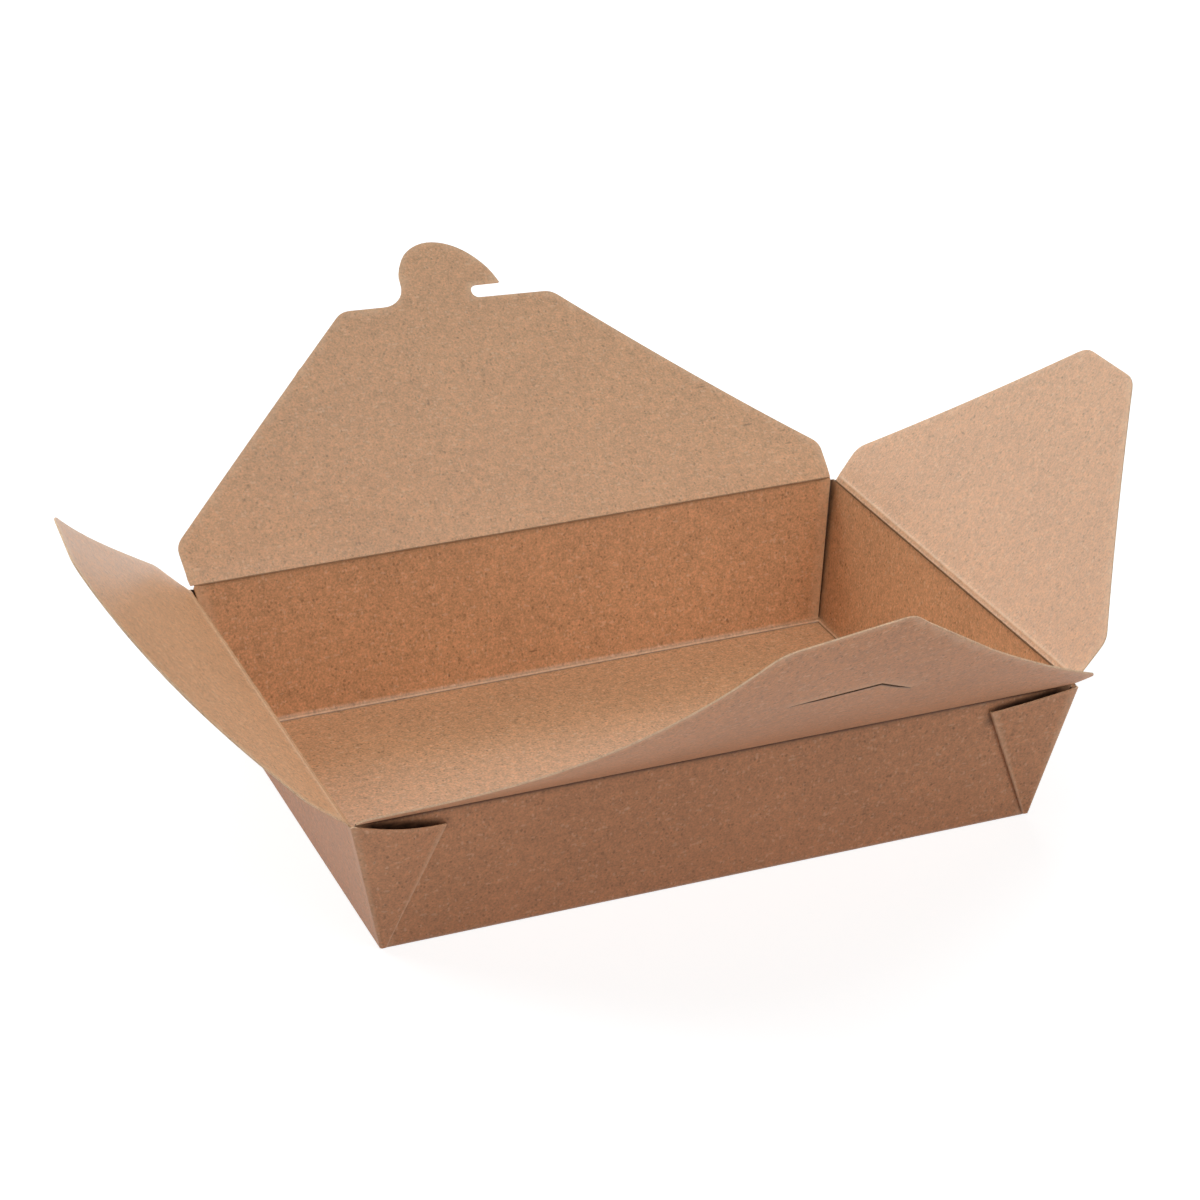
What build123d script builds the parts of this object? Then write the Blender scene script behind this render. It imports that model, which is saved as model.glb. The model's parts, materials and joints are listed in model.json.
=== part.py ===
from build123d import *
import os
from math import cos, radians, sin, sqrt

# A folded paperboard takeaway box, with its four top flaps standing open.
# +X runs along the long side, +Y towards the flap with the locking tab, and +Z is up.
# The origin is the middle of the underside of the floor.

# Driving dimensions, in millimetres
board = 0.45            # thickness of the paperboard
rim_length = 216        # between the creases of the two side flaps, at the front rim's height
rim_width = 162         # between the creases of the front and back flaps
flare = 9.5             # how far each wall leans out between base and rim
side_rim = 44.9         # height of the side flaps' creases, which fold in first and lie lowest
front_rim = 45.5        # height of the front flap's crease, which folds in second
back_rim = 46.1         # height of the tab flap's crease, which folds in last
fold_radius = 0.6       # outside of the bend between floor and wall
crease_radius = 0.3     # rolled bead that a crease leaves along the rim
hinge_gap = 0.35        # from the crease's axis to the root of its flap

# Corner webs: each is folded in two and lies against the outside of the front or back wall
layer_pitch = 0.6       # from one layer of board to the next, at the rim
corner_gap = 1.6        # the front and back walls stop this far short of the side walls, at the rim
web_reach = 26          # from the corner to the tip of the web's middle fold
web_drop = 5.5          # how far that tip lies below the rim
web_clear = 1.6         # the web's top edge starts this far below the rim, clear of the flap

# Flaps: reach is measured from the crease, and every long edge is cut at 45 degrees
lobe_reach = 14.5       # where the side of a flap ends and its 45 degree edge begins
side_reach = 80.2
front_reach = 103.3
back_reach = 86.8
lobe_round = 7
shoulder_round = 8
root_inset = 1          # each flap is this much narrower at its crease than at its lobes

# Locking tab on the back flap, and the slit in the front flap that it hooks into
neck_left = -17
neck_right = 11.2
tab_reach = 109.1
hook_slot = 4.1         # height of the slot under the hook
neck_round = 7
slit_points = [(4.8, 66.7), (-21.3, 66), (-34, 54.4)]
slit_width = 0.4

# How far each flap stands open, in degrees: 0 is shut and 90 is upright
open_angle = {"back_flap": 141, "front_flap": 141, "left_flap": 135, "right_flap": 131}

lean = flare / front_rim
skin = board / 2 * sqrt(1 + lean**2)


def half_length(height):
    return rim_length / 2 - flare + lean * height


def half_width(height):
    return rim_width / 2 - flare + lean * height


def trapezium(bottom_half, top_half, top):
    """A sketch of a flared band, from the floor's underside up to the given height."""
    points = [(-bottom_half, 0), (bottom_half, 0), (top_half, top), (-top_half, top)]
    return make_face(Polyline(*points, close=True))


def channel(half_span, left_rim, right_rim):
    """A floor with a flared wall on each side, as a bent strip's section."""
    outside = make_face(Polyline(
        (-half_span(0) - skin, 0), (half_span(0) + skin, 0),
        (half_span(right_rim) + skin, right_rim), (-half_span(left_rim) - skin, left_rim), close=True))
    top = back_rim + fold_radius
    inside = make_face(Polyline(
        (-half_span(board) + skin, board), (half_span(board) - skin, board),
        (half_span(top) - skin, top), (-half_span(top) + skin, top), close=True))
    outside = fillet(outside.vertices().group_by(Axis.Y)[0], fold_radius)
    inside = fillet(inside.vertices().group_by(Axis.Y)[0], fold_radius - board)
    return outside - inside


def fold(start, end, start_radius, end_radius):
    """The rounded bend where two layers of board meet along a line."""
    run = Vector(*end) - Vector(*start)
    place = Plane(origin=start, z_dir=run)
    if start_radius == end_radius:
        return place * Cylinder(start_radius, run.length, align=(Align.CENTER, Align.CENTER, Align.MIN))
    return place * Cone(start_radius, end_radius, run.length, align=(Align.CENTER, Align.CENTER, Align.MIN))


def sheet(*corners):
    """A flat layer of board with the given corners on its middle surface."""
    return extrude(make_face(Polyline(*corners, close=True)), amount=board / 2, both=True)


def web(side, end, rim):
    """One corner web, at the side (+1 right, -1 left) and end (+1 back, -1 front) given."""
    top = rim - web_clear
    tip = rim - web_drop

    def on_wall(height, inset, layers):
        outward = layers * layer_pitch * height / rim
        return (side * (half_length(height) - inset), end * (half_width(height) + outward), height)

    corner = on_wall(board / 2, 0, 0)
    wall_edge = corner_gap * top / rim
    inner = sheet(corner, on_wall(top, wall_edge, 1), on_wall(tip, web_reach, 1))
    outer = sheet(corner, on_wall(top, 0, 2), on_wall(tip, web_reach, 2))
    thin, thick = board / 2, (board + layer_pitch) / 2
    wall_fold = fold(corner, on_wall(top, wall_edge, 0.5), thin, thick)
    tip_fold = fold(corner, on_wall(tip, web_reach, 1.5), thin, thick)
    corner_fold = fold(corner, on_wall(side_rim, 0, 2), crease_radius, crease_radius)
    return inner + outer + wall_fold + tip_fold + corner_fold


def rim_bead(start, end):
    return fold(start, end, crease_radius, crease_radius)


def make_tray():
    """Floor, four walls and four corner webs: one folded sheet."""
    front_and_back = extrude(Plane.YZ * channel(half_width, front_rim, back_rim), rim_length, both=True)
    wall_end = half_length(back_rim) - corner_gap * back_rim / front_rim
    front_and_back &= extrude(Plane.XZ * trapezium(half_length(0), wall_end, back_rim), rim_width, both=True)

    sides = extrude(Plane.XZ * channel(half_length, side_rim, side_rim), rim_width, both=True)
    side_end = half_width(side_rim) + 2 * layer_pitch
    sides &= extrude(Plane.YZ * trapezium(half_width(0), side_end, side_rim), rim_length, both=True)
    sides -= Box(2 * half_length(0), 2 * rim_width, 2 * back_rim)

    tray = front_and_back + sides
    for side in (-1, 1):
        tray += web(side, -1, front_rim)
        tray += web(side, 1, back_rim)
        x = side * half_length(side_rim)
        tray += rim_bead((x, -side_end, side_rim), (x, side_end, side_rim))
    for end, rim in ((-1, front_rim), (1, back_rim)):
        x = half_length(rim) - corner_gap
        y = end * half_width(rim)
        tray += rim_bead((-x, y, rim), (x, y, rim))

    below = Box(2 * rim_length, 2 * rim_width, rim_width, align=(Align.CENTER, Align.CENTER, Align.MAX))
    return tray - below


def flap_outline(half_base, reach):
    """A flap lying flat: its crease along X, its 45 degree edges narrowing to the top edge."""
    half_top = half_base + lobe_reach - reach
    right = [(half_base - root_inset, hinge_gap), (half_base, lobe_reach), (half_top, reach)]
    left = [(-x, y) for x, y in reversed(right)]
    outline = make_face(Polyline(*right, *left, close=True))
    rows = outline.vertices().group_by(Axis.Y)
    outline = fillet(rows[1], lobe_round)
    return fillet(outline.vertices().group_by(Axis.Y)[-1], shoulder_round)


def add_tab(outline):
    """The locking tab: a rounded tongue with a hook on its right, over a narrow slot."""
    slot_top = back_reach + hook_slot
    tip = (19.3, slot_top)
    dome = Spline((-13.6, 97.5), (-9.3, 105.6), (0, tab_reach), (9.5, 105.3), (16.4, 97),
                  tangents=[(0.25, 1), (0.5, -1)])
    edge = Polyline(dome @ 1, tip, (neck_right, slot_top), (neck_right, back_reach - board),
                    (neck_left, back_reach - board), (neck_left + 1.2, back_reach + neck_round), dome @ 0)
    tab = make_face([dome, edge])
    slot_end = Pos(neck_right, back_reach + hook_slot / 2) * Circle(hook_slot / 2)
    outline = outline + tab - slot_end
    neck = outline.vertices().sort_by_distance((neck_left, back_reach, 0))[0]
    return fillet(neck, neck_round)


def cut_slit(outline):
    """The slit that takes the tab: straight, with its far end turned towards the crease."""
    for start, end in zip(slit_points, slit_points[1:]):
        run = Vector(*end) - Vector(*start)
        middle = (Vector(*start) + Vector(*end)) * 0.5
        angle = Vector(1, 0).get_signed_angle(run)
        outline -= Pos(middle) * Rot(0, 0, angle) * SlotCenterToCenter(run.length, slit_width)
    return outline


def place_flap(outline, crease_middle, inward, angle):
    """Thicken a flat outline and stand it open about its crease."""
    closed = Vector(*inward)
    along = Vector(0, 0, 1).cross(closed)
    up_the_flap = closed * cos(radians(angle)) + Vector(0, 0, 1) * sin(radians(angle))
    place = Plane(origin=crease_middle, x_dir=along, z_dir=along.cross(up_the_flap))
    return place * extrude(outline, amount=board / 2, both=True)


side_base = half_width(side_rim) - board
end_base = half_length(front_rim) - board
side_outline = flap_outline(side_base, side_reach)
creases = {
    "back_flap": ((0, half_width(back_rim), back_rim), (0, -1, 0)),
    "front_flap": ((0, -half_width(front_rim), front_rim), (0, 1, 0)),
    "left_flap": ((-half_length(side_rim), 0, side_rim), (1, 0, 0)),
    "right_flap": ((half_length(side_rim), 0, side_rim), (-1, 0, 0)),
}
outlines = {
    "back_flap": add_tab(flap_outline(end_base, back_reach)),
    "front_flap": cut_slit(flap_outline(end_base, front_reach)),
    "left_flap": side_outline,
    "right_flap": side_outline,
}

nodes = {"tray": make_tray()}
for name, outline in outlines.items():
    crease_middle, inward = creases[name]
    nodes[name] = place_flap(outline, crease_middle, inward, open_angle[name])

os.makedirs("parts", exist_ok=True)
for name, shape in nodes.items():
    export_step(shape, f"parts/{name}.step")

for name, (crease_middle, inward) in creases.items():
    print(name, "crease", [round(value, 4) for value in crease_middle], "open", open_angle[name])
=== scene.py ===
import json
import random
from math import ceil, cos, exp, pi, radians, sin, tan, tanh

import bmesh
import bpy
from mathutils import Matrix, Vector, geometry


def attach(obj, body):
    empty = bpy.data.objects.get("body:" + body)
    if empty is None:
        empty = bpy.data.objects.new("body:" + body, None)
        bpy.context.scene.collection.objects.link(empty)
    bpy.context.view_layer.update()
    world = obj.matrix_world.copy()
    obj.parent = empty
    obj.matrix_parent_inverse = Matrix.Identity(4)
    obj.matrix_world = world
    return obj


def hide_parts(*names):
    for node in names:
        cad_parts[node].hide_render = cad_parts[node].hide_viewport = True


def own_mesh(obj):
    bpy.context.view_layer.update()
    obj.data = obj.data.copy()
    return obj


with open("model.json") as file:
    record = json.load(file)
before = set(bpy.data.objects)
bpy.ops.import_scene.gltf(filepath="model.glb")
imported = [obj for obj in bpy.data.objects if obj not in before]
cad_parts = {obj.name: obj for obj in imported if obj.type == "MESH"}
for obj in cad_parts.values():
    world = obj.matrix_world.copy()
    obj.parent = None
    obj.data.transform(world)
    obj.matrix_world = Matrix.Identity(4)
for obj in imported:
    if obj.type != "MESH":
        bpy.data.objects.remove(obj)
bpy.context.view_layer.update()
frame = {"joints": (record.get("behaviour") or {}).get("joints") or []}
joints = {joint["name"]: joint for joint in frame["joints"]}
scene = bpy.context.scene
mm = 0.001
up = Vector((0, 0, 1))
boardThickness = 0.45 * mm
dice = random.Random(7)

cameraSetup = {
    "place": (-0.32785, -0.84383, 0.4792),
    "yaw": 20.912,  # degrees, turned from +Y towards +X
    "pitch": 25.018,  # degrees below level
    "roll": -0.978,
    "lens": 102.38,
}


def makeCamera(setup):
    yaw, pitch, roll = (radians(setup[key]) for key in ("yaw", "pitch", "roll"))
    forward = Vector((sin(yaw) * cos(pitch), cos(yaw) * cos(pitch), -sin(pitch)))
    level = forward.cross(up).normalized()
    above = level.cross(forward)
    right = level * cos(roll) + above * sin(roll)
    top = above * cos(roll) - level * sin(roll)
    turn = Matrix((right, top, -forward)).transposed().to_4x4()
    camera = bpy.data.objects.new("camera", bpy.data.cameras.new("camera"))
    camera.data.lens = setup["lens"]
    camera.data.sensor_width = 36
    camera.matrix_world = Matrix.Translation(setup["place"]) @ turn
    scene.collection.objects.link(camera)
    scene.camera = camera


def addNode(tree, kind, sockets=None, **settings):
    made = tree.nodes.new("ShaderNode" + kind)
    for key, value in settings.items():
        setattr(made, key, value)
    for key, value in (sockets or {}).items():
        if isinstance(value, bpy.types.NodeSocket):
            tree.links.new(value, made.inputs[key])
        else:
            made.inputs[key].default_value = value
    return made


def newGroup(name, inputs, outputs):
    tree = bpy.data.node_groups.new(name, "ShaderNodeTree")
    for label, kind, value in inputs:
        tree.interface.new_socket(name=label, in_out="INPUT", socket_type=kind).default_value = value
    for label, kind in outputs:
        tree.interface.new_socket(name=label, in_out="OUTPUT", socket_type=kind)
    return tree, tree.nodes.new("NodeGroupInput").outputs, tree.nodes.new("NodeGroupOutput")


def placeGroup(tree, group, **values):
    placed = tree.nodes.new("ShaderNodeGroup")
    placed.node_tree = group
    for key, value in values.items():
        placed.inputs[key].default_value = value
    return placed.outputs


def signedNoise(tree, where, scale, detail, roughness):
    # noise spread over about -1 to 1
    noise = addNode(tree, "TexNoise", {"Vector": where, "Scale": scale, "Detail": detail,
                                       "Roughness": roughness})
    spread = addNode(tree, "MapRange", {"Value": noise.outputs["Fac"], "From Min": 0.25, "From Max": 0.75,
                                        "To Min": -1, "To Max": 1})
    return spread.outputs["Result"]


def times(tree, first, second):
    return addNode(tree, "Math", {0: first, 1: second}, operation="MULTIPLY").outputs[0]


def plus(tree, first, second):
    return addNode(tree, "Math", {0: first, 1: second}, operation="ADD").outputs[0]


def mixColour(tree, share, first, second):
    mixed = addNode(tree, "Mix", data_type="RGBA")
    for key, value in (("Factor", share), (6, first), (7, second)):
        socket = mixed.inputs[key]
        if isinstance(value, bpy.types.NodeSocket):
            tree.links.new(value, socket)
        else:
            socket.default_value = value
    return mixed.outputs[2]


pulpScale = {"grain": 1500, "tufts": 420, "clouds": 38}


def makeBoardPulp():
    # the uneven tone of pressed pulp: fine grain, felted tufts and broad clouds
    tree, given, result = newGroup(
        "boardPulp",
        [("Grain", "NodeSocketFloat", 0.1), ("Tufts", "NodeSocketFloat", 0.08),
         ("Clouds", "NodeSocketFloat", 0.05)],
        [("Tone", "NodeSocketFloat"), ("Height", "NodeSocketFloat")])
    where = addNode(tree, "TexCoord").outputs["Object"]
    grain = signedNoise(tree, where, pulpScale["grain"], 2, 0.6)
    tufts = signedNoise(tree, where, pulpScale["tufts"], 3, 0.6)
    clouds = signedNoise(tree, where, pulpScale["clouds"], 3, 0.55)
    tone = plus(tree, plus(tree, times(tree, grain, given["Grain"]), times(tree, tufts, given["Tufts"])),
                times(tree, clouds, given["Clouds"]))
    tree.links.new(plus(tree, tone, 1.0), result.inputs["Tone"])
    height = plus(tree, times(tree, grain, 0.5), tufts)
    tree.links.new(height, result.inputs["Height"])
    return tree


fleckBend = {"scale": 700, "reach": 0.9 * mm}


def makeFibreFlecks():
    # scattered flecks, one in each cell and drawn out by Stretch: a cell over Rarity keeps its fleck
    tree, given, result = newGroup(
        "fibreFlecks",
        [("Scale", "NodeSocketFloat", 300.0), ("Size", "NodeSocketFloat", 0.2),
         ("Rarity", "NodeSocketFloat", 0.5), ("Stretch", "NodeSocketVector", (1, 1, 1))],
        [("Mask", "NodeSocketFloat")])
    where = addNode(tree, "TexCoord").outputs["Object"]
    bend = addNode(tree, "TexNoise", {"Vector": where, "Scale": fleckBend["scale"], "Detail": 2})
    bend = addNode(tree, "VectorMath", {0: bend.outputs["Color"], "Scale": fleckBend["reach"]},
                   operation="SCALE")
    where = addNode(tree, "VectorMath", {0: where, 1: bend.outputs[0]}, operation="ADD")
    where = addNode(tree, "VectorMath", {0: where.outputs[0], 1: given["Stretch"]}, operation="MULTIPLY")
    cells = addNode(tree, "TexVoronoi", {"Vector": where.outputs[0], "Scale": given["Scale"]})
    chance = addNode(tree, "SeparateColor", {"Color": cells.outputs["Color"]})
    kept = addNode(tree, "Math", {0: chance.outputs[0], 1: given["Rarity"]}, operation="GREATER_THAN")
    reach = times(tree, given["Size"], plus(tree, times(tree, chance.outputs[1], 0.8), 0.4))
    edge = times(tree, reach, 0.5)
    spot = addNode(tree, "MapRange", {"Value": cells.outputs["Distance"], "From Min": edge, "From Max": reach,
                                      "To Min": 1, "To Max": 0}, interpolation_type="SMOOTHSTEP")
    tree.links.new(times(tree, spot.outputs["Result"], kept.outputs[0]), result.inputs["Mask"])
    return tree


def makeCreaseWear():
    # fibres lifted along creases and cut edges with painted highlight and sheen, and painted shade in a fold,
    # corner or pocket: the mesh says where
    tree, given, result = newGroup(
        "creaseWearAndLight",
        [("Amount", "NodeSocketFloat", 0.5), ("Pocket", "NodeSocketFloat", 0.0),
         ("Corner", "NodeSocketFloat", 0.0)],
        [("LiftedAndLit", "NodeSocketFloat"), ("PaintedShade", "NodeSocketFloat")])
    where = addNode(tree, "TexCoord").outputs["Object"]
    wearAndHighlight, paintedDark, pocket, corner = (
        addNode(tree, "Attribute", attribute_name=name).outputs["Fac"]
        for name in ("creaseWearAndLight", "creaseShade", "pocketShade", "cornerShade"))
    patches = addNode(tree, "TexNoise", {"Vector": where, "Scale": 520, "Detail": 4, "Roughness": 0.7})
    patchy = addNode(tree, "MapRange", {"Value": patches.outputs["Fac"], "From Min": 0.3, "From Max": 0.6,
                                        "To Min": 0.35}).outputs["Result"]
    # wear with painted highlight and sheen, in patches
    tree.links.new(times(tree, times(tree, wearAndHighlight, patchy), given["Amount"]), result.inputs["LiftedAndLit"])
    # painted shade in pockets on the outside and in corners on the food side
    paintedHollowShade = plus(tree, times(tree, pocket, given["Pocket"]), times(tree, corner, given["Corner"]))
    deeper = addNode(tree, "Math", {0: paintedDark, 1: paintedHollowShade}, operation="MAXIMUM")
    uneven = addNode(tree, "MapRange", {"Value": patches.outputs["Fac"], "From Min": 0.3, "From Max": 0.7,
                                        "To Min": 0.88}).outputs["Result"]
    tree.links.new(times(tree, deeper.outputs[0], uneven), result.inputs["PaintedShade"])
    return tree


# each finish says how much lighter it gets for wear and painted highlight, and how much painted shade it
# takes in pockets and corners
boardFinishes = {
    "boardInside": {"base": (0.71, 0.40, 0.21), "dark": (0.18, 0.08, 0.035), "light": (0.95, 0.68, 0.44),
                    "grain": 0.30, "tufts": 0.17, "clouds": 0.05, "wearAndLight": 0.7, "pocket": 0.0, "corner": 1.0,
                    "roughness": 0.4, "specular": 0.62, "bump": 0.3},
    "boardOutside": {"base": (0.63, 0.305, 0.16), "dark": (0.18, 0.08, 0.035), "light": (0.90, 0.58, 0.37),
                     "grain": 0.26, "tufts": 0.15, "clouds": 0.06, "wearAndLight": 0.75, "pocket": 1.0, "corner": 0.0,
                     "roughness": 0.55, "specular": 0.4, "bump": 0.25},
    "boardCutEdge": {"base": (0.98, 0.70, 0.47), "dark": (0.6, 0.36, 0.2), "light": (0.98, 0.8, 0.6),
                     "grain": 0.15, "tufts": 0.1, "clouds": 0.03, "wearAndLight": 0.0, "pocket": 0.0, "corner": 0.0,
                     "roughness": 0.9, "specular": 0.1, "bump": 0.5},
    "creaseFibre": {"base": (0.66, 0.38, 0.205), "dark": (0.2, 0.09, 0.04), "light": (0.90, 0.66, 0.45),
                    "grain": 0.2, "tufts": 0.14, "clouds": 0.05, "wearAndLight": 0.6, "pocket": 0.0, "corner": 0.0,
                    "roughness": 0.9, "specular": 0.1, "bump": 0.5},
}
# the colour of painted shade in folds, corners, pockets, beside the slit and under the creases
paintedShadeColour = (0.03, 0.012, 0.006, 1)
# pale tufts and dark specks, then a few longer dark fibres: (tint, strength, the fleck group's values)
boardFlecks = [
    ("light", 0.42, {"Scale": 900.0, "Size": 0.42, "Rarity": 0.62, "Stretch": (1, 1, 0.6)}),
    ("light", 0.40, {"Scale": 820.0, "Size": 0.40, "Rarity": 0.75, "Stretch": (0.4, 1, 1)}),
    ("dark", 0.42, {"Scale": 850.0, "Size": 0.40, "Rarity": 0.66, "Stretch": (1, 0.8, 0.8)}),
    ("dark", 0.65, {"Scale": 240.0, "Size": 0.12, "Rarity": 0.86, "Stretch": (1, 1, 1)}),
    ("dark", 0.60, {"Scale": 420.0, "Size": 0.18, "Rarity": 0.965, "Stretch": (0.22, 1, 1)}),
    ("dark", 0.60, {"Scale": 420.0, "Size": 0.18, "Rarity": 0.965, "Stretch": (1, 0.22, 0.6)}),
]
grainDepth = 0.06 * mm
grainRoughness = 0.05


def makeBoard(name):
    finish = boardFinishes[name]
    material = bpy.data.materials.new(name)
    material.use_nodes = True
    tree = material.node_tree
    tree.nodes.clear()
    pulp = placeGroup(tree, boardPulp, Grain=finish["grain"], Tufts=finish["tufts"], Clouds=finish["clouds"])
    base = addNode(tree, "VectorMath", {0: finish["base"], "Scale": pulp["Tone"]}, operation="SCALE")
    colour = base.outputs[0]
    for tint, strength, values in boardFlecks:
        mask = placeGroup(tree, fibreFlecks, **values)["Mask"]
        colour = mixColour(tree, times(tree, mask, strength), colour, (*finish[tint], 1))
    crease = placeGroup(tree, creaseWearAndLight, Amount=finish["wearAndLight"], Pocket=finish["pocket"],
                        Corner=finish["corner"])
    # lighter for wear and painted highlight, then painted shade mixed in
    colour = mixColour(tree, crease["LiftedAndLit"], colour, (*finish["light"], 1))
    colour = mixColour(tree, crease["PaintedShade"], colour, paintedShadeColour)
    rough = plus(tree, times(tree, pulp["Height"], grainRoughness), finish["roughness"])
    bump = addNode(tree, "Bump", {"Height": pulp["Height"], "Strength": finish["bump"],
                                  "Distance": grainDepth})
    shader = addNode(tree, "BsdfPrincipled", {
        "Base Color": colour, "Roughness": rough, "Normal": bump.outputs[0],
        "Specular IOR Level": finish["specular"]})
    output = tree.nodes.new("ShaderNodeOutputMaterial")
    tree.links.new(shader.outputs[0], output.inputs[0])
    return material


def newObject(name, verts, faces, materials, marks=None):
    mesh = bpy.data.meshes.new(name)
    mesh.from_pydata([tuple(v) for v in verts], [], faces)
    for material in materials:
        mesh.materials.append(material)
    mesh.polygons.foreach_set("use_smooth", [True] * len(mesh.polygons))
    for mark, values in (marks or {}).items():
        mesh.attributes.new(mark, "FLOAT", "POINT").data.foreach_set("value", values)
    mesh.update()
    obj = bpy.data.objects.new(name, mesh)
    scene.collection.objects.link(obj)
    return obj


def thicken(obj):
    # the mesh is the middle of the board: slot 0 is the food side, 1 the outside and 2 the cut edge
    board = obj.modifiers.new("boardThickness", "SOLIDIFY")
    board.thickness = boardThickness
    board.offset = 0
    board.material_offset = 1
    board.material_offset_rim = 2
    split = obj.modifiers.new("crispEdges", "EDGE_SPLIT")
    split.split_angle = radians(50)


# how finely a flap is meshed, in mm
panelMesh = {
    "step": 3.2,
    "rowShare": 0.866,  # from row to row, so that the triangles are even
    "outlineStep": 2.5,
    "cutStep": 2.0,
    "arcTurn": 12,  # degrees from point to point round a corner
    "edgeClear": 0.45,  # of a step, kept free beside an edge
    "besideCut": (0.45, 1.1),
    "besideRidge": (-0.7, -0.35, 0, 0.35, 0.7),
    "ridgeClear": 1.2, "ridgeStep": 2, "ridgeEdgeClear": 0.4,
}


def fillSide(points, start, end, step):
    parts = ceil((end - start).length / step)
    points += [start.lerp(end, k / parts) for k in range(1, parts)]


def roundCorners(corners):
    # corners are (x, y, radius); straight sides get points as well
    points = []
    count = len(corners)
    step = panelMesh["outlineStep"]
    for i in range(count):
        before, here, after = (Vector(corners[(i + k) % count][:2]) for k in (-1, 0, 1))
        radius = corners[i][2]
        into, out = (before - here).normalized(), (after - here).normalized()
        half = into.angle(out) / 2
        if radius == 0 or half > pi / 2 - 0.01:  # a sharp corner, or hardly a corner at all
            arc = [here]
        else:
            middle = here + (into + out).normalized() * radius / sin(half)
            start = here + into * radius / tan(half) - middle
            sweep = (pi - 2 * half) * (1 if into.cross(out) < 0 else -1)
            turns = max(2, ceil(abs(sweep) / radians(panelMesh["arcTurn"])))
            arc = [middle + Matrix.Rotation(sweep * k / turns, 2) @ start for k in range(turns + 1)]
        if points:
            fillSide(points, points[-1], arc[0], step)
        points += arc
    fillSide(points, points[-1], points[0], step)
    return points


def smoothRun(points, parts):
    # a curve through the points, without its two ends
    run = []
    for k in range(len(points) - 1):
        a, b, c, d = (Vector(points[min(max(k + j, 0), len(points) - 1)]) for j in (-1, 0, 1, 2))
        for part in range(parts):
            w = part / parts
            run.append(b + (c - a) * w / 2 + (a * 2 - b * 5 + c * 4 - d) * w * w / 2
                       + (b * 3 - a - c * 3 + d) * w ** 3 / 2)
    return run[1:]


def insideLoop(point, loop):
    hits = 0
    for a, b in zip(loop, loop[1:] + loop[:1]):
        if (a.y > point.y) != (b.y > point.y) and point.x < a.x + (point.y - a.y) * (b.x - a.x) / (b.y - a.y):
            hits += 1
    return hits % 2 == 1


def nearestOn(point, a, b):
    near, share = geometry.intersect_point_line(point, a, b)
    return a.lerp(b, max(0.0, min(1.0, share)))


def nearestSide(point, loop):
    return min((point - nearestOn(point, a, b)).length for a, b in zip(loop, loop[1:] + loop[:1]))


def meshPanel(outline, holes, ridge):
    # a flat sheet of triangles that keeps every edge, with close rows along a ridge and beside a cut
    loops = [outline] + holes
    points, edges = [], []
    for loop in loops:
        first = len(points)
        points += loop
        edges += [(first + k, first + (k + 1) % len(loop)) for k in range(len(loop))]

    def onBoard(spot):
        return insideLoop(spot, outline) and not any(insideLoop(spot, hole) for hole in holes)

    step = panelMesh["step"]
    rowStep, edgeClear = step * panelMesh["rowShare"], step * panelMesh["edgeClear"]
    lowX, highX = min(p.x for p in outline), max(p.x for p in outline)
    lowY, highY = min(p.y for p in outline), max(p.y for p in outline)
    for row in range(int((highY - lowY) / rowStep) + 1):
        y = lowY + rowStep * (row + 0.5)
        for column in range(int((highX - lowX) / step) + 1):
            spot = Vector((lowX + step * (column + 0.5 * (row % 2)), y))
            if onBoard(spot) and abs(y - ridge) > panelMesh["ridgeClear"]:
                if min(nearestSide(spot, loop) for loop in loops) > edgeClear:
                    points.append(spot)
    for hole in holes:
        for a, b in zip(hole, hole[1:] + hole[:1]):
            side = Vector((b.y - a.y, a.x - b.x)).normalized()
            beside = [a.lerp(b, 0.5) + side * offset * way
                      for offset in panelMesh["besideCut"] for way in (-1, 1)]
            points += [spot for spot in beside if not insideLoop(spot, hole)]
    for offset in panelMesh["besideRidge"] if ridge else ():
        for k in range(int((highX - lowX) / panelMesh["ridgeStep"])):
            spot = Vector((lowX + panelMesh["ridgeStep"] * k + 1, ridge + offset))
            if insideLoop(spot, outline) and nearestSide(spot, outline) > panelMesh["ridgeEdgeClear"]:
                points.append(spot)
    flat, _, faces, _, _, _ = geometry.delaunay_2d_cdt(points, edges, [], 0, 1e-7)
    kept = [face for face in faces if onBoard(sum((flat[k] for k in face), Vector((0, 0))) / len(face))]
    return flat, kept, loops


creaseRoot = 0.25  # a flap's sheet starts this far from its crease, inside the bead
# stand: degrees open at the crease; curl: degrees more at 100 mm out; twist: degrees more at 100 mm along,
# which comes in over twistReach mm; ridge: mm from the crease; last, a painted sheen that lightens the flap's
# colour all over
flapShapes = {
    "back": {"stand": 141.3, "curl": 0.0, "twist": 5.98, "twistReach": 12, "ridge": 0.0, "paintedSheen": 0.18},
    "front": {"stand": 146.5, "curl": -8.0, "twist": 6.5, "twistReach": 60, "ridge": 0.0, "paintedSheen": 0.0},
    "left": {"stand": 137.7, "curl": -9.2, "twist": -5.5, "twistReach": 25, "ridge": 1.9, "paintedSheen": 0.0},
    "right": {"stand": 130.7, "curl": 0.0, "twist": -3.58, "twistReach": 12, "ridge": 1.8, "paintedSheen": 0.22},
}
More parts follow.
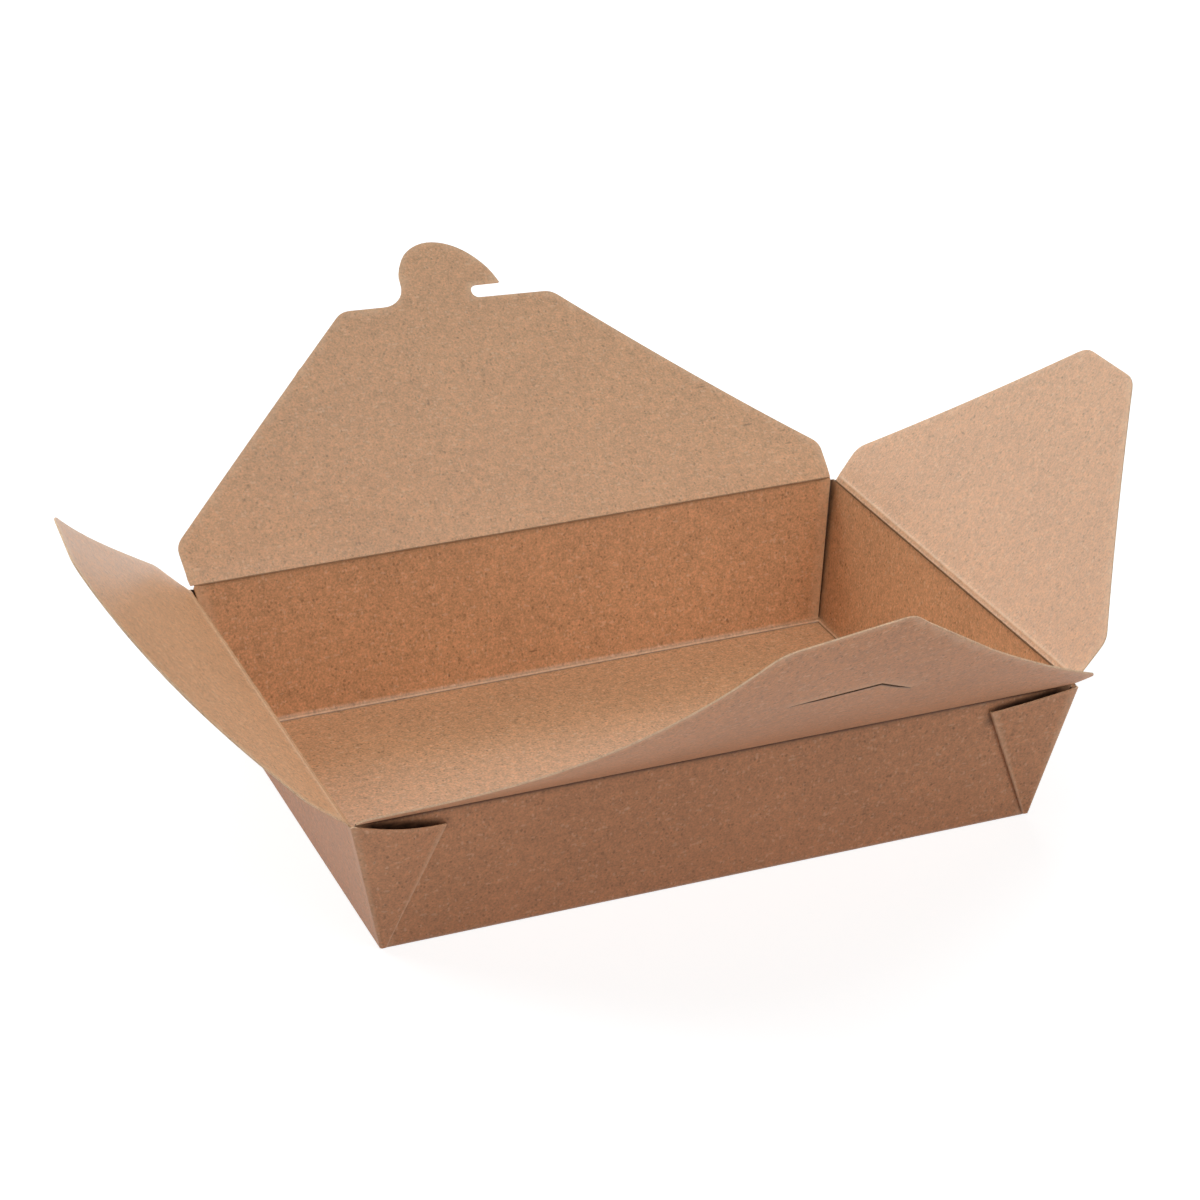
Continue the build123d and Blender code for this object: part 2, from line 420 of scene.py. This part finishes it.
# corners from the crease's right end round to its left end, in mm: (along the crease, away from it, radius)
flapCorners = {
    "back": [(106.2, creaseRoot, 0), (107.3, 13.8, 6), (36.6, 86.3, 6), "hook", (-14.3, 85.9, 8),
             (-36.7, 85.9, 7), (-108.7, 13.9, 6), (-107.6, creaseRoot, 0)],
    "front": [(106.5, creaseRoot, 0), (107.5, 14.5, 7), (18.7, 103.3, 10), (-18.7, 103.3, 7),
              (-107.5, 14.5, 7), (-106.5, creaseRoot, 0)],
    "left": [(79.6, creaseRoot, 0), (80.6, 14.5, 7), (15.0, 80.2, 10), (-15.0, 80.2, 10), (-80.6, 14.5, 7),
             (-79.6, creaseRoot, 0)],
    "right": [(79.6, creaseRoot, 0), (80.6, 15.4, 6), (15.4, 80.8, 9), (-14.6, 80.8, 9), (-82.6, 12.8, 6),
              (-80.4, creaseRoot, 0)],
}
hookSlot = [(9.2, 86.3, 2.3), (9.2, 91.1, 2.3), (19.9, 91.3, 0.3)]
tabDome = [(19.9, 91.3), (17.5, 97.3), (12.8, 103.3), (7.3, 107.2), (1.2, 108.9), (-4.4, 108.2),
           (-9.6, 105.0), (-12.9, 99.6), (-14.1, 95.2)]
# the knife cut that takes the tab: the lip towards the crease is sprung outwards, with painted shade on it;
# the other is worn lighter, with a painted highlight
slitPath = {
    "points": [(4.8, 66.7), (-21.3, 66.0), (-34.0, 54.4)], "width": 0.35,
    "lift": 0.27, "liftReach": 2.2, "taper": 8,
    "lightReach": 1.5, "darkFrom": 0.2, "darkReach": 0.25,
}
edgeWear = {"strength": 0.8, "reach": 0.5, "fadeAtCrease": 3}
sideRidge = {"height": 0.22, "halfWidth": 0.45}


def flapOutline(corners):
    full = []
    for corner in corners:
        if corner == "hook":
            full += hookSlot + [(p.x, p.y, 0) for p in smoothRun(tabDome, 3)]
        else:
            full.append(corner)
    return roundCorners(full)


def slitOutline(slit):
    # a thin closed loop round the knife cut, its outer lip first
    cut = [Vector(p) for p in slit["points"]]
    ahead = [cut[1] - cut[0], cut[2] - cut[0], cut[2] - cut[1]]
    sides = [Vector((d.y, -d.x)).normalized() * slit["width"] / 2 * w for d, w in zip(ahead, (0.15, 1, 0.15))]
    outer = [c - side for c, side in zip(cut, sides)]
    inner = [c + side for c, side in zip(cut, sides)]
    loop = outer + inner[::-1]
    points = []
    for k, point in enumerate(loop):
        points.append(point)
        fillSide(points, point, loop[(k + 1) % len(loop)], panelMesh["cutStep"])
    return points


def besideSlit(spot, slit):
    # how far the cut is, which side of it this is (1 beyond it, -1 towards the crease), and the lip's lift
    cut = [Vector(p) for p in slit["points"]]
    distance = 1000.0
    for a, b in zip(cut, cut[1:]):
        near = nearestOn(spot, a, b)
        if (spot - near).length < distance:
            distance = (spot - near).length
            side = 1 if (b - a).cross(spot - a) < 0 else -1
            taper = min(1.0, (near - cut[0]).length / slit["taper"], (near - cut[2]).length / slit["taper"])
    lift = slit["lift"] * taper * exp(-distance / slit["liftReach"]) if side < 0 else 0.0
    return distance, side, lift


def markFlap(shape, spot, loops, slit):
    # at a point of the flap: lifted fibres with painted highlight and sheen, painted shade, and how far it
    # stands out towards the food side
    edge = min(nearestSide(spot, loop) for loop in loops)
    wearAndHighlight = edgeWear["strength"] * exp(-edge / edgeWear["reach"]) * min(1.0, spot.y / edgeWear["fadeAtCrease"])
    # the flap's colour lightened all over by a painted sheen
    wearAndHighlight, paintedDark, away = max(wearAndHighlight, shape["paintedSheen"]), 0.0, 0.0
    if shape["ridge"]:
        # the ridge stands out, lighter with a painted highlight along it
        onRidge = exp(-((spot.y - shape["ridge"]) / sideRidge["halfWidth"]) ** 2)
        wearAndHighlight, away = max(wearAndHighlight, onRidge), sideRidge["height"] * onRidge
    if slit:
        distance, side, lift = besideSlit(spot, slit)
        away -= lift
        # beyond the cut wear with a painted highlight; towards the crease painted shade on the sprung lip
        if side > 0:
            wearAndHighlight = max(wearAndHighlight, exp(-distance / slit["lightReach"]))
        else:
            paintedDark = min(1.0, exp((slit["darkFrom"] - distance) / slit["darkReach"]))
    return wearAndHighlight, paintedDark, away


def faceTheFood(piece):
    # a flap's food side is the one seen from over the box
    overTheBox = Vector((0, 0, 0.2))
    if sum(face.normal.dot(overTheBox - face.center) * face.area for face in piece.data.polygons) < 0:
        piece.data.flip_normals()


def makeFlap(name, slit=None):
    shape = flapShapes[name]
    joint = joints[name + "_crease"]
    crease = Vector(joint["pos_m"])
    along = -Vector(joint["axis"])
    inward = up.cross(Vector(joint["axis"]))
    holes = [slitOutline(slit)] if slit else []
    flat, faces, loops = meshPanel(flapOutline(flapCorners[name]), holes, shape["ridge"])
    verts, wearAndLight, shade = [], [], []
    for spot in flat:
        angle = shape["stand"] + shape["curl"] * (spot.y / 100) ** 2
        angle = radians(angle + shape["twist"] * spot.x / 100 * tanh(spot.y / shape["twistReach"]))
        climb, facing = inward * cos(angle) + up * sin(angle), inward * sin(angle) - up * cos(angle)
        wearAndHighlight, paintedDark, away = markFlap(shape, spot, loops, slit)
        verts.append(crease + (along * spot.x + climb * spot.y + facing * away) * mm)
        wearAndLight.append(wearAndHighlight)
        shade.append(paintedDark)
    piece = newObject(name + "Flap", verts, faces, boardMaterials, {"creaseWearAndLight": wearAndLight, "creaseShade": shade})
    faceTheFood(piece)
    thicken(piece)
    body = name + "_flap"
    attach(piece, body)
    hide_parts(body)
    # the flap's angle and facing at the first end of its crease's range, which nothing below uses
    openAngle = radians(-joint["range_deg"][0])
    facing = inward * sin(openAngle) - up * cos(openAngle)
    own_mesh(piece)


sideCrease, frontCrease, backCrease = (
    Vector(joints[key + "_crease"]["pos_m"]) for key in ("right", "front", "back"))
wallLean = 9.5 / 45.5  # out for each millimetre up


def halfLengthAt(height):
    return sideCrease.x - wallLean * (sideCrease.z - height)


def halfWidthAt(height):
    return -frontCrease.y - wallLean * (frontCrease.z - height)


traySheet = {
    "wallColumns": 48, "sideColumns": 36, "foldSteps": 6, "webColumns": 12,
    "webFoot": 1.5,  # height at which the webs fan out
    # rows of points, as shares of the way from there to the rim
    "rows": [0, 0.02, 0.05, 0.1, 0.18, 0.28, 0.38, 0.48, 0.58, 0.68, 0.78, 0.86, 0.9, 0.93, 0.955, 0.975,
             0.99, 1],
    # the crease round the floor: (inset, height, lifted fibres with painted highlight, painted shade)
    "floorBead": [(2.2, 0.225, 0, 0), (1.15, 0.225, 0, 0.25), (0.85, 0.23, 0, 1), (0.62, 0.42, 0.9, 0.2),
                  (0.36, 0.66, 1, 0), (0.12, 0.98, 0.3, 0.25)],
    # painted shade on the side walls beside the corners
    "cornerShade": 0.4, "cornerShadeReach": 6, "sideLength": 150,
    # marks along the rim, painted shade on the walls, and wear with painted highlight on the webs: (strength,
    # reach)
    "frontRimShade": (1.7, 0.6), "rimShade": (0.6, 0.6), "webWearAndHighlight": (0.5, 0.5),
}
# gap: how far the wall stops short of the side wall; tip and corner: (inset, height under the rim, stand off
# the wall); bow: how far the top edge bows out; sag: how far the inner layer dips; bend: the corner's radius
webShape = {
    "frontLeft": {"gap": 1.4, "tip": (25.5, 5.1, 1.0), "corner": (-0.4, 0.1, 0.9), "bow": 2.5, "sag": 2.6,
                  "bend": 0.8},
    "frontRight": {"gap": 1.6, "tip": (25.8, 3.9, 1.5), "corner": (1.5, 0.5, 2.3), "bow": 0.3, "sag": 3.0,
                   "bend": 0.8},
    "backRight": {"gap": 2.15, "tip": (26.0, 4.6, 1.2), "corner": (0.2, 1.6, 1.9), "bow": 0.6, "sag": 2.0,
                  "bend": 0.8},
    "backLeft": {"gap": 1.7, "tip": (26.0, 4.6, 1.1), "corner": (0.1, 1.6, 1.5), "bow": 1.0, "sag": 2.0,
                 "bend": 0.8},
}
webFootShape = {"gap": 1.0, "tip": (1.3, 0, 0.95), "corner": (0.0, 0, 1.0), "bow": 0, "sag": 0, "bend": 0.5}
webLayer = 0.5  # from one layer of the web to the next
webTopClear = 1.4
# the painted shade of a pocket on the wall behind it, in mm above the web's top edge and past its tip
pocketShade = {"top": 2.4, "foot": -5, "footFade": 3, "pastTip": 1, "sideFade": 4}


def cornerPath(side, end, rim, shape, foot):
    # one level of the folded corner, from the front or back wall round to the side wall:
    # (point, wear with painted highlight, painted shade, painted shade on the food side alone)
    steps, webs = traySheet["foldSteps"], traySheet["webColumns"]
    gap, bow, sag, bend = (shape[key] for key in ("gap", "bow", "sag", "bend"))
    (tipIn, tipDrop, tipOut), (cornerIn, cornerDrop, cornerOut) = shape["tip"], shape["corner"]
    foldTop = rim if foot else rim - webTopClear * mm
    tipTop, cornerTop = rim - tipDrop * mm, rim - cornerDrop * mm
    path = []

    def add(inset, out, height, wearAndHighlight=0.0, paintedDark=0.0, paintedHollowShade=0.0):
        x = side * (halfLengthAt(height) - inset * mm)
        y = end * (halfWidthAt(height) + out * mm)
        path.append((Vector((x, y, height)), wearAndHighlight, paintedDark, paintedHollowShade))

    # the wall's end folds back on itself, lighter on its edge with wear and painted highlight, with painted
    # shade inside
    first, second = webLayer / 2, (tipOut - webLayer) / 2
    for k in range(steps + 1):
        turn, share = pi * k / steps, k / steps
        add(gap - first * sin(turn), first * (1 - cos(turn)), rim + (foldTop - rim) * share,
            1.0 if k < 3 else 0.0, 0.0 if k < 4 else 1.0, 0.0 if k < 3 else 1.0)
    # the inner layer runs along the wall to the tip, in painted shade
    for k in range(1, webs):
        share = k / webs
        dip = sag * mm * min(1.0, 3 * share, 3 * (1 - share))
        add(gap + share * (tipIn - gap), webLayer, foldTop + share * (tipTop - foldTop) - dip, paintedDark=1.0)
    # the tip's fold, lighter on its edge with wear and painted highlight, and in painted shade
    for k in range(steps + 1):
        turn, share = pi * k / steps, k / steps
        add(tipIn + second * sin(turn), webLayer + second * (1 - cos(turn)), tipTop, min(1.0, 1.6 * share),
            0.8 * (1 - share), 0.9)
    # the outer layer comes back to the corner, in painted shade on the food side
    for k in range(1, webs):
        share = k / webs
        out = tipOut + share * (cornerOut - tipOut) + bow * sin(pi * share)
        add(tipIn + share * (cornerIn + bend - tipIn), out, tipTop + share * (cornerTop - tipTop), paintedHollowShade=1.0)
    # and bends round it into the side wall, lighter with wear and painted highlight, its painted shade on the
    # food side fading
    for k in range(steps + 1):
        turn, share = pi / 2 * k / steps, k / steps
        sideTop = cornerTop if foot else cornerTop + (sideCrease.z - cornerTop) * share
        add(cornerIn * (1 - share) + bend - bend * sin(turn), cornerOut - bend * (1 - cos(turn)), sideTop,
            0.5, paintedHollowShade=1 - 0.4 * share ** 2)
    return path


def wallColumns(start, finish, kind):
    # the columns between two corners, kind "side" for the left and right walls and "end" for the others
    count = traySheet["sideColumns" if kind == "side" else "wallColumns"]
    columns = []
    for k in range(1, count):
        share = k / count
        floorShare = tuple(start[2][i] + share * (finish[2][i] - start[2][i]) for i in (0, 1))
        fromCorner = min(share, 1 - share) * traySheet["sideLength"]
        nearCorner = exp(-fromCorner / traySheet["cornerShadeReach"])
        # painted shade on the side walls beside the corners, on the food side
        paintedHollowShade = traySheet["cornerShade"] * nearCorner if kind == "side" else 0.0
        columns.append((start[0].lerp(finish[0], share), start[1].lerp(finish[1], share), floorShare, 0, 0,
                        paintedHollowShade, kind))
    return columns


def makeRing():
    # each column of the tray's sides: low point, high point, its share of the floor's corner, marks and kind
    foot = traySheet["webFoot"] * mm
    folded = []
    corners = (("frontRight", 1, -1), ("backRight", 1, 1), ("backLeft", -1, 1), ("frontLeft", -1, -1))
    for k, (name, side, end) in enumerate(corners):
        rim = frontCrease.z if end < 0 else backCrease.z
        high = cornerPath(side, end, rim, webShape[name], False)
        low = cornerPath(side, end, foot, webFootShape, True)
        corner = [(b[0], a[0], (side, end), *a[1:], "web") for a, b in zip(high, low)]
        folded.append(corner if k % 2 == 0 else corner[::-1])
    ring = []
    for k, corner in enumerate(folded):
        ring += corner + wallColumns(corner[-1], folded[(k + 1) % 4][0], "side" if k % 2 == 0 else "end")
    return ring


def pocketMark(spot, end, shape):
    # painted shade on the wall behind a web's top edge, and a little above it
    rim = (frontCrease if end < 0 else backCrease).z / mm
    inset = (halfLengthAt(spot.z) - abs(spot.x)) / mm
    share = min(1.0, inset / shape["tip"][0])
    above = spot.z / mm - rim + shape["corner"][1] + share * (shape["tip"][1] - shape["corner"][1])
    level = min((pocketShade["top"] - above) / pocketShade["top"],
                (above - pocketShade["foot"]) / pocketShade["footFade"],
                (shape["tip"][0] + pocketShade["pastTip"] - inset) / pocketShade["sideFade"])
    return max(0.0, min(1.0, level))


def rimMark(below, mark):
    strength, reach = mark
    return min(1.0, strength * exp(-below / reach))


def makeTray():
    ring = makeRing()
    verts, faces = [], []
    marks = {"creaseWearAndLight": [], "creaseShade": [], "pocketShade": [], "cornerShade": []}

    def addPoint(spot, *values):
        verts.append(spot)
        for mark, value in zip(marks, values):
            marks[mark].append(value)

    floorX, floorY = halfLengthAt(0), halfWidthAt(0)
    bead, levels = traySheet["floorBead"], traySheet["rows"]
    for low, high, share, wearAndHighlight, paintedDark, paintedHollowShade, kind in ring:
        # the floor's crease: lighter on the bead with painted highlight, painted shade on the floor beside it
        for inset, height, beadWearAndLight, dark in bead:
            x, y = share[0] * (floorX - inset * mm), share[1] * (floorY - inset * mm)
            addPoint(Vector((x, y, height * mm)), beadWearAndLight, dark, 0.0, 0.0)
        side, end = (1 if high.x > 0 else -1), (1 if high.y > 0 else -1)
        shape = webShape[("front" if end < 0 else "back") + ("Right" if side > 0 else "Left")]
        for level in levels:
            spot = low.lerp(high, level)
            below = (high - spot).length / mm
            if kind == "web":
                # the webs: wear with painted highlight along the top, painted shade from the corner's path
                addPoint(spot, max(wearAndHighlight, rimMark(below, traySheet["webWearAndHighlight"])), paintedDark, 0.0, paintedHollowShade)
            else:
                # painted shade along the rim, darkest under the front crease, and painted shade in the
                # pockets behind the webs
                rimShade = traySheet["frontRimShade" if kind == "end" and end < 0 else "rimShade"]
                pocket = pocketMark(spot, end, shape) if kind == "end" else 0.0
                addPoint(spot, wearAndHighlight, max(paintedDark, rimMark(below, rimShade)), pocket, paintedHollowShade)
    count, rowCount = len(ring), len(bead) + len(levels)
    for c in range(count):
        n = (c + 1) % count
        for r in range(rowCount - 1):
            faces.append((c * rowCount + r, c * rowCount + r + 1, n * rowCount + r + 1, n * rowCount + r))

    # the flat of the floor, inside the crease round it
    first = len(verts)
    inset, height = bead[0][:2]
    wallCount, sideCount = traySheet["wallColumns"], traySheet["sideColumns"]
    for j in range(sideCount + 1):
        for i in range(wallCount + 1):
            x = (2 * i / wallCount - 1) * (floorX - inset * mm)
            y = (2 * j / sideCount - 1) * (floorY - inset * mm)
            addPoint(Vector((x, y, height * mm)), 0.0, 0.0, 0.0, 0.0)
    wide = wallCount + 1
    for j in range(sideCount):
        for i in range(wallCount):
            a = first + j * wide + i
            faces.append((a, a + 1, a + wide + 1, a + wide))

    tray = newObject("traySheet", verts, faces, boardMaterials, marks)
    work = bmesh.new()
    work.from_mesh(tray.data)
    bmesh.ops.remove_doubles(work, verts=work.verts, dist=0.02 * mm)
    bmesh.ops.dissolve_degenerate(work, edges=work.edges, dist=0.001 * mm)
    work.to_mesh(tray.data)
    work.free()
    thicken(tray)
    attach(tray, "tray")
    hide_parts("tray")


# each bead is lighter for wear and a painted highlight, and darker with painted shade, most under the front
# crease
creaseBead = {
    "radius": 0.33, "ripple": 0.05, "endShare": 0.6, "sides": 10, "step": 2.0, "wearAndLight": 0.5,
    "shade": {"front": 1.0, "back": 0.5, "right": 0.75, "left": 0.1},
}


def makeBead(name, start, end):
    # the rolled fibres along a crease: a round bead, so that the flap can turn about it
    run = end - start
    count = ceil(run.length / (creaseBead["step"] * mm))
    across = run.cross(up).normalized()
    over = run.normalized().cross(across)
    sides = creaseBead["sides"]
    verts, faces = [], []
    for k in range(count + 1):
        middle = start.lerp(end, k / count)
        radius = (creaseBead["radius"] + dice.uniform(-1, 1) * creaseBead["ripple"]) * mm
        if k in (0, count):
            radius *= creaseBead["endShare"]
        for s in range(sides):
            turn = 2 * pi * s / sides
            verts.append(middle + (across * cos(turn) + over * sin(turn)) * radius)
    for k in range(count):
        for s in range(sides):
            n = (s + 1) % sides
            faces.append((k * sides + s, k * sides + n, (k + 1) * sides + n, (k + 1) * sides + s))
    faces.append(tuple(range(sides))[::-1])
    faces.append(tuple(count * sides + s for s in range(sides)))
    marks = {"creaseWearAndLight": [creaseBead["wearAndLight"]] * len(verts),
             "creaseShade": [creaseBead["shade"][name]] * len(verts)}
    bead = newObject(name + "CreaseBead", verts, faces, [creaseFibre], marks)
    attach(bead, "tray")


def makeBeads():
    for name, crease in (("front", frontCrease), ("back", backCrease)):
        left, right = (halfLengthAt(crease.z) - webShape[name + side]["gap"] * mm
                       for side in ("Left", "Right"))
        makeBead(name, crease - Vector((left, 0, 0)), crease + Vector((right, 0, 0)))
    for name, sign in (("right", 1), ("left", -1)):
        crease = Vector((sign * sideCrease.x, 0, sideCrease.z))
        reach = Vector((0, halfWidthAt(sideCrease.z), 0))
        makeBead(name, crease - reach, crease + reach)


studio = {
    "worldStrength": 0.06,
    "lampSize": 1.2, "lampDistance": 2.0,
    # (direction from the box, power)
    "lamps": {"topLamp": ((0, 0.01, 1), 11.5), "backLeftLamp": ((-0.6, 0.6, 0.55), 13.5),
              "frontLamp": ((0.25, -0.8, 0.5), 9.0), "backLamp": ((0.2, 0.87, 0.5), 13.0)},
    "floorReach": 6,
    # what the box sees of the floor, what the camera sees of it, and how much it glows for the camera
    "floorColour": (0.9, 0.9, 0.9, 1), "floorSeen": (0.47, 0.5, 0.52, 1), "floorGlow": 0.84,
    "glowFade": (0.7, 2.2),  # far from the lamps the floor glows white by itself
}


def cameraShare(tree):
    # 1 for what the camera, a gloss or a clear material sees directly
    rays = addNode(tree, "LightPath")
    seen = addNode(tree, "Math", {0: rays.outputs["Is Camera Ray"], 1: rays.outputs["Is Glossy Ray"]},
                   operation="MAXIMUM")
    return addNode(tree, "Math", {0: seen.outputs[0], 1: rays.outputs["Is Transmission Ray"]},
                   operation="MAXIMUM").outputs[0]


def makePaleFloor():
    material = bpy.data.materials.new("paleFloor")
    material.use_nodes = True
    tree = material.node_tree
    tree.nodes.clear()
    seen = cameraShare(tree)
    colour = mixColour(tree, seen, studio["floorColour"], studio["floorSeen"])
    diffuse = addNode(tree, "BsdfDiffuse", {"Color": colour})
    away = addNode(tree, "VectorMath", {0: addNode(tree, "TexCoord").outputs["Object"]}, operation="LENGTH")
    near, far = studio["glowFade"]
    level = addNode(tree, "MapRange", {"Value": away.outputs["Value"], "From Min": near, "From Max": far,
                                       "To Min": studio["floorGlow"], "To Max": 1})
    strength = times(tree, seen, level.outputs["Result"])
    glow = addNode(tree, "Emission", {"Color": (1, 1, 1, 1), "Strength": strength})
    both = addNode(tree, "AddShader")
    tree.links.new(diffuse.outputs[0], both.inputs[0])
    tree.links.new(glow.outputs[0], both.inputs[1])
    tree.links.new(both.outputs[0], tree.nodes.new("ShaderNodeOutputMaterial").inputs[0])
    return material


def makeStudio():
    world = bpy.data.worlds.new("studioWorld")
    scene.world = world
    world.use_nodes = True
    tree = world.node_tree
    tree.nodes.clear()
    strength = addNode(tree, "MapRange", {"Value": cameraShare(tree), "To Min": studio["worldStrength"],
                                          "To Max": 1})
    background = addNode(tree, "Background", {"Color": (1, 1, 1, 1), "Strength": strength.outputs["Result"]})
    tree.links.new(background.outputs[0], tree.nodes.new("ShaderNodeOutputWorld").inputs[0])

    reach = studio["floorReach"]
    corners = [(-reach, -reach, 0), (reach, -reach, 0), (reach, reach, 0), (-reach, reach, 0)]
    floor = newObject("studioFloor", corners, [(0, 1, 2, 3)], [makePaleFloor()])

    for name, (direction, power) in studio["lamps"].items():
        light = bpy.data.lights.new(name, "AREA")
        light.energy = power
        light.size = studio["lampSize"]
        lamp = bpy.data.objects.new(name, light)
        lamp.location = Vector(direction).normalized() * studio["lampDistance"]
        lamp.rotation_euler = (-lamp.location).to_track_quat("-Z", "Y").to_euler()
        scene.collection.objects.link(lamp)
    scene.view_settings.view_transform = "Standard"


makeCamera(cameraSetup)
print("camera ready")
boardPulp, fibreFlecks, creaseWearAndLight = makeBoardPulp(), makeFibreFlecks(), makeCreaseWear()
boardMaterials = [makeBoard(name) for name in ("boardInside", "boardOutside", "boardCutEdge")]
creaseFibre = makeBoard("creaseFibre")
print("board finishes ready")
makeTray()
makeBeads()
print("tray sheet folded")
makeFlap("back")
makeFlap("front", slit=slitPath)
makeFlap("left")
makeFlap("right")
print("flaps cut and bent")
makeStudio()
print("studio lit")
